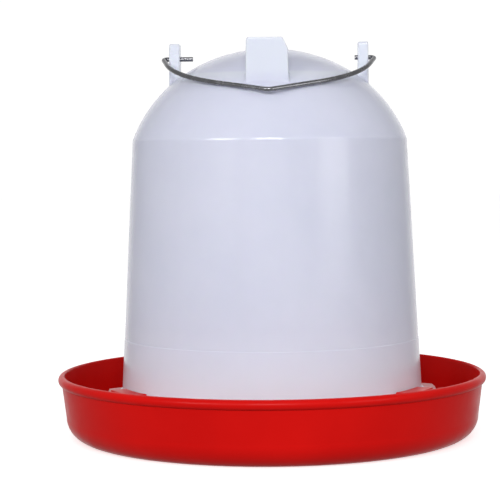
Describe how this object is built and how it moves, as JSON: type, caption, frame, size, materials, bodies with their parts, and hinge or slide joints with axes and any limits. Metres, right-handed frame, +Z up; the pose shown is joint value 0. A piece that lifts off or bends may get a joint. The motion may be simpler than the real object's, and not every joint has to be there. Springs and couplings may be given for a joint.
{
  "type": "poultry waterer",
  "caption": "Siphon poultry drinker: a white bell fount locks by bayonet into a round red drinking tray and is carried by a wire bail.",
  "frame": {"origin": "centre of the tray's underside, on the floor that the waterer stands on", "axes": "+Z up along the axis of the tray and the fount; the bail's eyes are on the X axis; the bail lies towards -Y"},
  "size_m": [0.3739, 0.374, 0.3435],
  "materials": {
    "tray_plastic": "gloss",
    "fount_plastic": "satin",
    "bail_wire": "dull galvanised"
  },
  "bodies": {
    "tray": {"tray": "tray_plastic"},
    "fount": {"fount": "fount_plastic"},
    "bail": {"bail": "bail_wire"}
  },
  "joints": [
    {"name": "fount_twist", "type": "hinge", "parent": "tray", "child": "fount", "pos_m": [0, 0, 0.0333], "axis": [0, 0, 1], "range_deg": [-100, 0]},
    {"name": "bail_swing", "type": "hinge", "parent": "fount", "child": "bail", "pos_m": [0, 0, 0.3303], "axis": [-1, 0, 0], "range_deg": [0, 212.8]}
  ]
}
